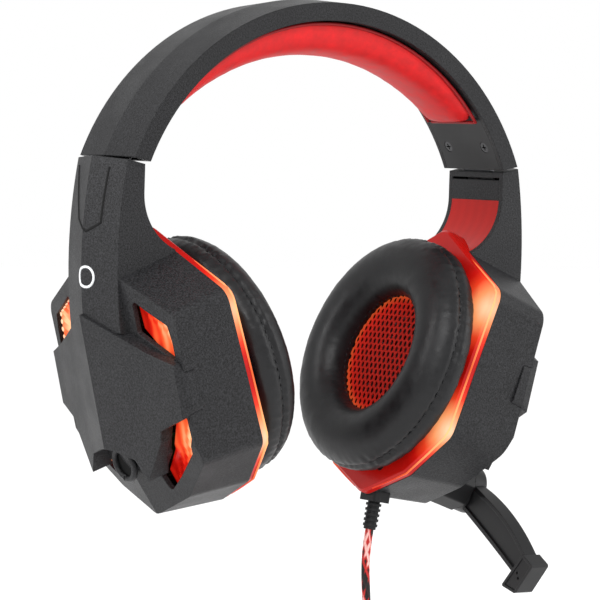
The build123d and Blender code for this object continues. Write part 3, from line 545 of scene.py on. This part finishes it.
def coil_path():
    """Points along the winding, in mm."""
    points = []
    for count in range(TURNS * POINTS_PER_TURN + 1):
        index, share = divmod(count / POINTS_PER_TURN, 1)
        index = int(index)
        if index == TURNS:
            index, share = TURNS - 1, 1
        here = coil_seat(index)
        after = coil_seat(min(index + 1, TURNS - 1))
        start = 1 - STEP_SHARE - STEP_LAG * index
        mix = ease((share - start) / STEP_SHARE)
        radius = here[0] + (after[0] - here[0]) * mix
        row = here[1] + (after[1] - here[1]) * mix
        angle = -2 * math.pi * share
        points.append((COIL_CENTRE.x + radius * math.cos(angle), row,
                       COIL_CENTRE.z + radius * math.sin(angle)))
    return points


route = [Vector(p) * MM for p in LEAD + coil_path() + TAIL]
curve = bpy.data.curves.new("cord", "CURVE")
curve.dimensions = "3D"
line = curve.splines.new("NURBS")
line.points.add(len(route) - 1)
for point, place in zip(line.points, route):
    point.co = (*place, 1)
line.order_u = 3
line.use_endpoint_u = True
curve.resolution_u = 4
curve.bevel_depth = CORD_D / 2 * MM
curve.bevel_resolution = 3
curve.use_fill_caps = True
cord = bpy.data.objects.new("cord_line", curve)
scene.collection.objects.link(cord)
cord_length = sum((b - a).length for a, b in zip(route, route[1:]))
curve.materials.append(braid("cord_braid", cord_length, CORD_D * MM))
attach(cord, "left_cup")
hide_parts("cord", "cord_coil", "cord_tail")


# ---- ear cushions -----------------------------------------------------------------------
RING_STEPS = 96
CUSHION_R = 47.2             # half width of the stuffed cushion; it is a little taller
CUSHION_TALLER = 2.2
CUSHION_BACK, CUSHION_FRONT = -4.5, -24.6
# Cross-section of the unstuffed cushion, as (radius, height).
CUSHION_OUTLINE = [(28.2, -5.0), (44.5, -5.0), (46.6, -6.6), (47.1, -10.4), (46.2, -13.6),
                   (46.8, -14.5), (45.4, -19.0), (41.5, -23.2), (36, -25.2), (30.5, -24.2),
                   (26.4, -20), (25.0, -15), (25.2, -11.2), (28.2, -10.9)]
HOLE_R = 24.6
SEAM_H = -13.6
SEAM_DEPTH, SEAM_WIDTH = 1.5, 0.8
OUTER_SHARE, HEM_SHARE = 0.22, 0.12            # how far the outer folds and the inner hem reach
FOLDS_ROUND, SMALL_FOLDS_ROUND, HEM_FOLDS_ROUND = 74, 121, 60
FOLD_DEPTH, FOLD_REACH = 0.24, 3.4
SLACK_DEPTH, HEM_DEPTH = 0.28, 0.14


def cushion_rim(angle):
    """Outer radius at an angle measured from the cup's upward direction."""
    return CUSHION_R + CUSHION_TALLER * math.cos(angle) ** 2


def ring_mesh(name, outline):
    """A closed ring about the speaker's centre from (radius, height) points, in cup space."""
    verts, faces = [], []
    count = len(outline)
    for angle in turns(RING_STEPS):
        for radius, height in outline:
            verts.append(around(PAD_V, radius, angle, height))
    for step in range(RING_STEPS):
        following = (step + 1) % RING_STEPS
        for k in range(count):
            nxt = (k + 1) % count
            faces.append((step * count + k, step * count + nxt,
                          following * count + nxt, following * count + k))
    return to_mesh(name, verts, faces)


def polar(co):
    """Radius, angle and height of a point about the speaker's axis, in mm."""
    rel = co / MM - CUP_ORIGIN
    v = rel.dot(CUP_UP) - PAD_V
    return math.hypot(rel.y, v), math.atan2(rel.y, v), rel.dot(CUP_OUT)


def gather(mesh):
    """Stretch the bag to its size, sew its seam and gather small folds beside it."""
    shape = [polar(vertex.co) for vertex in mesh.vertices]
    inner = min(radius for radius, _, _ in shape)
    outer = max(radius for radius, _, _ in shape)
    deep = min(height for _, _, height in shape)
    for vertex, (radius, angle, height) in zip(mesh.vertices, shape):
        share = (radius - inner) / (outer - inner)
        wanted = HOLE_R + (cushion_rim(angle) - HOLE_R) * share
        sunk = (height - CUSHION_BACK) * (CUSHION_FRONT - CUSHION_BACK) / (deep - CUSHION_BACK)
        rim = math.exp(-((1 - share) / OUTER_SHARE) ** 2)
        wobble = noise.noise(Vector((math.sin(angle) * 3, math.cos(angle) * 3, 5)))
        gap = CUSHION_BACK + sunk - SEAM_H
        groove = -SEAM_DEPTH * math.exp(-(gap / SEAM_WIDTH) ** 2) * rim
        folds = (math.sin(angle * FOLDS_ROUND + 5 * wobble)
                 + 0.6 * math.sin(angle * SMALL_FOLDS_ROUND + 9 * wobble))
        puckers = FOLD_DEPTH * folds * math.exp(-abs(gap) / FOLD_REACH) * rim
        slack = noise.noise(Vector((angle * 26, sunk * 0.35, 3))) * SLACK_DEPTH
        hem = (math.exp(-(share / HEM_SHARE) ** 2)
               * math.sin(angle * HEM_FOLDS_ROUND + 4 * wobble) * HEM_DEPTH)
        wanted += groove + puckers + slack * (0.3 + 0.5 * rim) + hem
        height = min(CUSHION_BACK + sunk, CUSHION_BACK)
        vertex.co = around(PAD_V, wanted, angle, height)


STITCH_SIDES = 6
STITCH_RINGS = (-1.0, -0.6, 0.0, 0.6, 1.0)     # from end to end of a stitch


def stitch_ring(name, radius_at, height, count, length, thick, outward):
    """Short stitches in a circle about the speaker's axis, bulging out from it or in to it."""
    verts, faces = [], []
    for angle in turns(count):
        radial = spoke(angle)
        along = Vector((0, math.cos(angle), 0)) - CUP_UP * math.sin(angle)
        middle = in_cup(0, PAD_V, height) / MM + radial * radius_at(angle)
        rise = (radial * outward - CUP_OUT * 0.2).normalized()
        side = along.cross(rise).normalized()
        base = len(verts)
        for share in STITCH_RINGS:
            bulge = 0.55 * (1 - share * share)
            centre = middle + along * share * length / 2 + rise * (bulge - 0.35) * thick * 2
            swell = thick / 2 * (1.0 if abs(share) < 0.9 else 0.35)
            for turned in turns(STITCH_SIDES):
                spread = rise * math.cos(turned) + side * math.sin(turned)
                verts.append((centre + spread * swell) * MM)
        last = base + STITCH_SIDES * (len(STITCH_RINGS) - 1)
        for ring in range(base, last, STITCH_SIDES):
            for k in range(STITCH_SIDES):
                a, b = ring + k, ring + (k + 1) % STITCH_SIDES
                faces.append((a, b, b + STITCH_SIDES, a + STITCH_SIDES))
        faces.append(tuple(base + k for k in range(STITCH_SIDES)))
        faces.append(tuple(last + k for k in reversed(range(STITCH_SIDES))))
    return to_mesh(name, verts, faces)


CUSHION_CAP, CUSHION_VOXEL = 0.0012, 0.0026
SEAM_STITCHES, SEAM_STITCH_LENGTH, SEAM_THREAD = 92, 2.0, 0.55
HEM_STITCHES, HEM_STITCH_LENGTH, HEM_THREAD, HEM_H = 60, 1.6, 0.35, -13.5
cushion_mesh = settle(ring_mesh("cushion", CUSHION_OUTLINE), "cushion_bag", CUSHION_CAP,
                      CUSHION_VOXEL)
gather(cushion_mesh)
seam_mesh = stitch_ring("seam_stitches", lambda angle: cushion_rim(angle) - SEAM_DEPTH, SEAM_H,
                        SEAM_STITCHES, SEAM_STITCH_LENGTH, SEAM_THREAD, 1)
rim_mesh = stitch_ring("rim_stitches", lambda angle: HOLE_R + 0.15, HEM_H,
                       HEM_STITCHES, HEM_STITCH_LENGTH, HEM_THREAD, -1)
for side_name, side in SIDES.items():
    for mesh, name, skin in ((cushion_mesh, "ear_cushion", BLACK_SKIN),
                             (seam_mesh, "cushion_seam_stitches", THREAD),
                             (rim_mesh, "cushion_rim_stitches", THREAD)):
        full = f"{side_name}_{name}"
        made = piece(full, on_side(mesh, side, full), skin, side_name + "_cup")
        if name == "ear_cushion":
            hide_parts(side_name + "_cushion")


# ---- speaker mesh --------------------------------------------------------------------------
HOLE_PITCH = 3.0
HOLE_WIDTH, HOLE_TALL = 0.66, 0.80             # the hole's share of its cell
MESH_DOME = 0.5
KNIT_THICK = 0.00045


def knitted_disc(name):
    """A thin disc of knitted mesh: six-sided cells with open middles, slightly domed."""
    bm = bmesh.new()
    made = {}

    def vertex(y, v):
        key = (round(y, 3), round(v, 3))
        if key not in made:
            reach = min(math.hypot(y, v) / MESH_R, 1)
            made[key] = bm.verts.new(in_cup(y, PAD_V + v,
                                                  MESH_H - MESH_DOME * (1 - reach ** 2)))
        return made[key]

    cell = HOLE_PITCH / math.sqrt(3)
    reach = int(MESH_R / HOLE_PITCH) + 2
    for row in range(-reach, reach + 1):
        for column in range(-reach, reach + 1):
            y = HOLE_PITCH * (column + 0.5 * (row % 2))
            v = 1.5 * cell * row
            if math.hypot(y, v) > MESH_R - 0.8:
                continue
            rim, hole = [], []
            for k in range(6):
                angle = math.pi / 6 + k * math.pi / 3
                rim.append(vertex(y + cell * math.cos(angle), v + cell * math.sin(angle)))
                hole.append(vertex(y + HOLE_WIDTH * cell * math.cos(angle),
                                   v + HOLE_TALL * cell * math.sin(angle)))
            for k in range(6):
                bm.faces.new((rim[k], rim[(k + 1) % 6], hole[(k + 1) % 6], hole[k]))
    bmesh.ops.recalc_face_normals(bm, faces=bm.faces)
    mesh = bpy.data.meshes.new(name)
    bm.to_mesh(mesh)
    bm.free()
    thing = new_object(name, mesh)
    finer = thing.modifiers.new("finer", "SUBSURF")
    finer.levels = 1
    thick = thing.modifiers.new("thick", "SOLIDIFY")
    thick.thickness = KNIT_THICK
    for modifier in ("finer", "thick"):
        bpy.ops.object.modifier_apply(modifier=modifier)
    return taken_out(thing)


knit = knitted_disc("speaker_mesh_knit")
for side_name, side in SIDES.items():
    made = piece(side_name + "_knitted_mesh", on_side(knit, side, side_name + "_knit"), MESH,
                 side_name + "_cup")
    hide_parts(side_name + "_speaker_mesh")

# ---- ribbed light guides behind the windows --------------------------------------------------
# Edges of the guides on the rear half, as (front-back, up) in the cup; the front half mirrors them.
UPPER_OUTER = [(20.5, 9.4), (30.8, 3.8), (41.0, -2.0), (42.4, -9.0), (42.4, -20.0)]
UPPER_INNER = [(19.0, 4.0), (20.0, -6.0), (26.0, -12.5), (33.0, -17.0), (43.0, -20.5)]
LOWER_OUTER = [(42.2, -35.5), (42.5, -47.6), (39.9, -54.6), (27.0, -65.2), (14.8, -74.0)]
LOWER_INNER = [(42.0, -35.5), (28.0, -42.5), (23.5, -54.0), (13.5, -64.0), (13.0, -74.0)]
RIB_LENGTH = 3.1
RIB_DEPTH = 1.2
GUIDE_TOP_DROP = 2.5         # from the outer face to the guide beneath the wall
GUIDE_SCOOP = 3.6            # how much deeper the guide's middle lies
GUIDE_ACROSS, GUIDE_DOWN = 90, 14


def walk(chain, share):
    """The point at a share of a chain's length, and its distance along the chain."""
    points = [Vector(p) for p in chain]
    spans = [(b - a).length for a, b in zip(points, points[1:])]
    goal = share * sum(spans)
    left = goal
    for a, b, span in zip(points, points[1:], spans):
        if left <= span + 1e-9:
            return a.lerp(b, left / span), goal
        left -= span
    return points[-1], goal


def guide_patch(verts, faces, outer_chain, inner_chain, flip):
    """A scooped sheet between two edges, ribbed across, deepest in its middle."""
    base = len(verts)
    for i in range(GUIDE_ACROSS + 1):
        outer, run = walk(outer_chain, i / GUIDE_ACROSS)
        inner, _ = walk(inner_chain, i / GUIDE_ACROSS)
        rib = abs(math.sin(math.pi * run / RIB_LENGTH)) * RIB_DEPTH
        for j in range(GUIDE_DOWN + 1):
            t = j / GUIDE_DOWN
            p = outer.lerp(inner, t)
            lifted = rib * math.sin(math.pi * min(1.0, 0.25 + t))
            depth = GUIDE_TOP_DROP + GUIDE_SCOOP * math.sin(math.pi * t * 0.62) - lifted
            verts.append(in_cup(flip * p.x, p.y, face_height(p.x, p.y) - depth))
    row = GUIDE_DOWN + 1
    for i in range(GUIDE_ACROSS):
        for j in range(GUIDE_DOWN):
            k = base + i * row + j
            faces.append((k, k + 1, k + row + 1, k + row))


def guide_mesh(name):
    verts, faces = [], []
    for outer_chain, inner_chain in ((UPPER_OUTER, UPPER_INNER), (LOWER_OUTER, LOWER_INNER)):
        for flip in (1, -1):
            guide_patch(verts, faces, outer_chain, inner_chain, flip)
    return to_mesh(name, verts, faces)


guides = guide_mesh("light_guides")
for side_name, side in SIDES.items():
    made = piece(side_name + "_ribbed_guide", on_side(guides, side, side_name + "_guides"),
                 GUIDE, side_name + "_cup")
    thick = made.modifiers.new("thick", "SOLIDIFY")
    thick.thickness = 0.0006
    thick.offset = -side
    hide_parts(side_name + "_light_guide")

BEAD_GAP = 3.1
BEAD_R = (1.05, 0.42, 0.42)
BEAD_ROWS = ((UPPER_OUTER, (-1.19, -1.19)), (LOWER_OUTER, (-1.19, 0.34)))   # edge and inset
BEAD_LIFT = 0.5


def beads_mesh(name):
    """Short glowing beads where the light guide meets the windows' outer edges: painted glints."""
    bm = bmesh.new()
    for chain, inset in BEAD_ROWS:
        total = sum((Vector(b) - Vector(a)).length for a, b in zip(chain, chain[1:]))
        count = int(total / BEAD_GAP)
        for flip in (1, -1):
            for index in range(1, count):
                spot, _ = walk(chain, (index + 0.5) / count)
                ahead, _ = walk(chain, min(1, (index + 0.9) / count))
                y, v = spot.x + inset[0], spot.y + inset[1]
                place = in_cup(flip * y, v, face_height(y, v) - GUIDE_TOP_DROP + BEAD_LIFT)
                along = in_cup(flip * ahead.x, ahead.y, 0) - in_cup(flip * spot.x, spot.y, 0)
                along.normalize()
                turned = along.to_track_quat("X", "Z").to_matrix().to_4x4()
                sized = Matrix.Diagonal((*(r * MM for r in BEAD_R), 1))
                bmesh.ops.create_icosphere(bm, subdivisions=2, radius=1.0,
                                           matrix=Matrix.Translation(place) @ turned @ sized)
    mesh = bpy.data.meshes.new(name)
    bm.to_mesh(mesh)
    bm.free()
    return mesh


# Painted glints along the windows' outer edges of both cups.
beads = beads_mesh("guide_beads")
for side_name, side in SIDES.items():
    piece(side_name + "_guide_glint_beads", on_side(beads, side, side_name + "_beads"), GUIDE_GLINTS,
          side_name + "_cup")

# ---- headband pad ---------------------------------------------------------------------------
BAND_CENTRE_Z = -79.1
PAD_TOP_R = 92.1
PAD_END = math.radians(53.5)
PAD_HALF_W = 16.2
PAD_STEPS = 60
PAD_OUTLINE = [(-1.0, 0.0), (-1.0, 0.22), (-0.93, 0.50), (-0.78, 0.78), (-0.55, 0.93),
               (0, 1.0), (0.55, 0.93), (0.78, 0.78), (0.93, 0.50), (1.0, 0.22), (1.0, 0.0),
               (0.5, 0.0), (-0.5, 0.0)]        # shares of its half width and its thickness
PAD_CAP, PAD_VOXEL = 0.0008, 0.003
UNDER_END = (70.5, -26.5)
UNDER_R = (UNDER_END[0] ** 2 + UNDER_END[1] ** 2) / (2 * -UNDER_END[1])


def pad_section(share):
    """Top and bottom of the pad at a share from -1 to 1 along the arch, with its lean."""
    angle = share * PAD_END
    top = Vector((PAD_TOP_R * math.sin(angle), 0, BAND_CENTRE_Z + PAD_TOP_R * math.cos(angle)))
    out = Vector((math.sin(angle), 0, math.cos(angle)))
    lean = math.asin(min(1, UNDER_END[0] / UNDER_R)) * share
    low = Vector((UNDER_R * math.sin(lean), 0, UNDER_R * math.cos(lean) - UNDER_R))
    return top, low, out


def pad_mesh(name):
    """Arched pad with rounded shoulders, a little slimmer than the room it fills."""
    verts, faces = [], []
    for step in range(PAD_STEPS + 1):
        share = -1 + 2 * step / PAD_STEPS
        top, low, out = pad_section(share)
        end = max(0, abs(share) - 0.93) / 0.07
        width = PAD_HALF_W * (1 - 0.14 * end ** 2)
        fall = (top - low).length * (1 - 0.2 * end ** 2) + 1.9
        for y, down in PAD_OUTLINE:
            verts.append((top + out * (1.6 - fall * down) + Vector((0, y * width, 0))) * MM)
    count = len(PAD_OUTLINE)
    for step in range(PAD_STEPS):
        for k in range(count):
            nxt = (k + 1) % count
            faces.append((step * count + k, step * count + nxt,
                          (step + 1) * count + nxt, (step + 1) * count + k))
    faces.append(tuple(range(count)))
    faces.append(tuple(PAD_STEPS * count + k for k in reversed(range(count))))
    return to_mesh(name, verts, faces)


def under_liner(co):
    """True where the pad is held against the band's liner."""
    return math.hypot(co.x / MM, co.z / MM - BAND_CENTRE_Z) > PAD_TOP_R - 1.2


pad = settle(pad_mesh("band_pad"), "pad_bag", PAD_CAP, PAD_VOXEL, under_liner)
for vertex in pad.vertices:
    place = vertex.co / MM
    reach = math.hypot(place.x, place.z - BAND_CENTRE_Z)
    if reach > PAD_TOP_R:
        scale = PAD_TOP_R / reach
        vertex.co.x *= scale
        vertex.co.z = (BAND_CENTRE_Z + (place.z - BAND_CENTRE_Z) * scale) * MM
made = piece("headband_cushion", pad, RED_SKIN, "headband")
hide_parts("headband_pad")


WELT_HALF_W, WELT_R, WELT_DROP = 15.9, 0.7, 0.9
WELT_END_STEPS = 12


def welt_point(share, across):
    """A point on the piping at a share along the arch and a share across the pad, in mm."""
    top, _, out = pad_section(share)
    return top - out * WELT_DROP + Vector((0, WELT_HALF_W * across, 0))


def welt_path():
    """Once round the pad: along one edge and across its end, then back along the other."""
    path = []
    for way in (1, -1):
        for step in range(PAD_STEPS + 1):
            path.append(welt_point(way * (2 * step / PAD_STEPS - 1), -way))
        for step in range(1, WELT_END_STEPS):
            path.append(welt_point(way, way * (2 * step / WELT_END_STEPS - 1)))
    return path


piece("headband_welt", tube_along("welt", welt_path(), WELT_R), WELT_RED, "headband")

# ---- light line along the seam --------------------------------------------------------------
# Half of the line round the seam, as (front-back, up) in the cup.
LINE_HALF = [(16, 16.9), (30, 9.9), (42.0, 3.6), (45.3, 0.6), (46.1, -3.5), (44.9, -30),
             (43.5, -57.2), (41.8, -61.5), (34.5, -68.9), (25, -77.9), (14.2, -82.6), (6, -85.9)]
LINE_H, LINE_R = -2.4, 0.42
for side_name, side in SIDES.items():
    for way, flip in (("front", -1), ("rear", 1)):
        path = [in_cup(flip * y, v, LINE_H, side) / MM for y, v in LINE_HALF]
        piece(f"{side_name}_{way}_seam_line", tube_along("seam_line", path, LINE_R, False, 6),
              SEAM_LINE, side_name + "_cup")

# ---- arm panel, badge and blank hub ---------------------------------------------------------
CREST = [(99.2, -40.4), (102.8, -70.0), (101.0, -110.0)]       # (x, z) along the arm's crest
ARM_ROOF, ARM_HALF_W = 5.2, 18
ARM_SLOPE = ARM_ROOF / ARM_HALF_W              # fall of the arm's outer side beside its crest
# Corners of the panel at the top of the arm, as (y, z).
PANEL = [(14.5, -46.5), (6.0, -67.0), (-1.5, -71.5), (-8.5, -68.0), (-9.5, -46.5)]
PANEL_STEPS = 8
PANEL_R, PANEL_SUNK = 0.62, 0.25


def crest_x(z):
    """How far out the arm's crest lies at a height: the parabola through its three points."""
    total = 0
    for x_here, z_here in CREST:
        term = x_here
        for _, z_other in CREST:
            if z_other != z_here:
                term *= (z - z_other) / (z_here - z_other)
        total += term
    return total


def arm_surface(y, z, side, sunk):
    """A point just under the arm's roof-shaped outer side, in mm."""
    return Vector((side * (crest_x(z) - ARM_SLOPE * abs(y) - sunk), y, z))


def panel_path(side):
    """The path of a thin dark tube that paints the shade of the groove round the panel at the top
    of the arm.
    """
    path = []
    for (y0, z0), (y1, z1) in zip(PANEL, PANEL[1:]):
        for step in range(PANEL_STEPS):
            t = step / PANEL_STEPS
            path.append(arm_surface(y0 + (y1 - y0) * t, z0 + (z1 - z0) * t, side, PANEL_SUNK))
    path.append(arm_surface(*PANEL[-1], side, PANEL_SUNK))
    return path


# Painted shade: the panel's groove is a sunk dark tube, not a cut in the arm.
for side_name, side in SIDES.items():
    panel_line = tube_along("panel_line", panel_path(side), PANEL_R, False)
    piece(side_name + "_arm_panel_line", panel_line, PAINTED_SHADE, side_name + "_cup")

BADGE_Y, BADGE_Z, BADGE_R = -2.2, -89.0, 3.9
BADGE_WIRE_R, BADGE_SUNK = 0.55, 0.1
for side_name, side in SIDES.items():
    ring = [arm_surface(BADGE_Y + BADGE_R * math.sin(angle), BADGE_Z + BADGE_R * math.cos(angle),
                        side, BADGE_SUNK) for angle in turns(40)]
    piece(side_name + "_badge_ring", tube_along("badge", ring, BADGE_WIRE_R), PALE,
          side_name + "_cup")

# The cup without the microphone has a shallow blank dish between the shield's lower points.
BLANK_V, BLANK_R, BLANK_H = -58.5, 6.4, 37.0
BLANK_RIM_R, DISH_EDGE, DISH_DEPTH = 1.3, 0.4, 2.4
BLANK_ANGLES = turns(36)
blank_rim = [around(BLANK_V, BLANK_R, angle, BLANK_H, -1) / MM for angle in BLANK_ANGLES]
piece("right_hub_blank_rim", tube_along("blank_rim", blank_rim, BLANK_RIM_R), SHELL, "right_cup")
dish_verts = [in_cup(0, BLANK_V, BLANK_H - DISH_DEPTH, -1)]
dish_verts += [around(BLANK_V, BLANK_R, angle, BLANK_H - DISH_EDGE, -1) for angle in BLANK_ANGLES]
dish_faces = [(0, 1 + k, 1 + (k + 1) % len(BLANK_ANGLES)) for k in range(len(BLANK_ANGLES))]
# Painted shade: the dish's floor is coloured near-black for the shade in the recess.
piece("right_hub_blank_floor", to_mesh("blank_floor", dish_verts, dish_faces), PAINTED_SHADE,
      "right_cup")

# ---- floor, lights and world ------------------------------------------------------------------
FLOOR_Z = cad_box[0][2] - 0.002
FLOOR_HALF = 6
FLOOR_CORNERS = [(x * FLOOR_HALF, y * FLOOR_HALF, FLOOR_Z)
                 for x, y in ((-1, -1), (1, -1), (1, 1), (-1, 1))]
floor_mesh = to_mesh("floor", FLOOR_CORNERS, [(0, 1, 2, 3)], False)
floor = bpy.data.objects.new("floor", floor_mesh)
scene.collection.objects.link(floor)
floor_paint = Paint("floor_paint", (0.93, 0.93, 0.93), 0.7)
floor_paint.set("Emission Color", (1, 1, 1, 1))
floor_paint.set("Emission Strength", 0.08)
floor_paint.link(floor_paint.grey(floor_paint.noise(40), 0, 1, 0.68, 0.74),
                 floor_paint.shader.inputs["Roughness"])
floor_mesh.materials.append(floor_paint.material)

world = bpy.data.worlds.new("studio")
scene.world = world
world.use_nodes = True
world.node_tree.nodes["Background"].inputs["Color"].default_value = (1, 1, 1, 1)
world.node_tree.nodes["Background"].inputs["Strength"].default_value = 1.0


def softbox(name, place, size, power):
    """A large rectangular lamp that faces the headset."""
    lamp = bpy.data.lights.new(name, "AREA")
    lamp.shape = "RECTANGLE"
    lamp.size, lamp.size_y = size
    lamp.energy = power
    thing = bpy.data.objects.new(name, lamp)
    thing.location = place
    thing.rotation_euler = (AIM - Vector(place)).to_track_quat("-Z", "Y").to_euler()
    scene.collection.objects.link(thing)


softbox("key", (-0.55, -1.0, 0.75), (0.5, 0.7), 14)
softbox("fill", (0.9, -0.75, 0.25), (0.5, 0.9), 6)
softbox("rim", (-1.1, 0.1, 0.5), (0.5, 0.9), 14)
scene.view_settings.view_transform = "Standard"
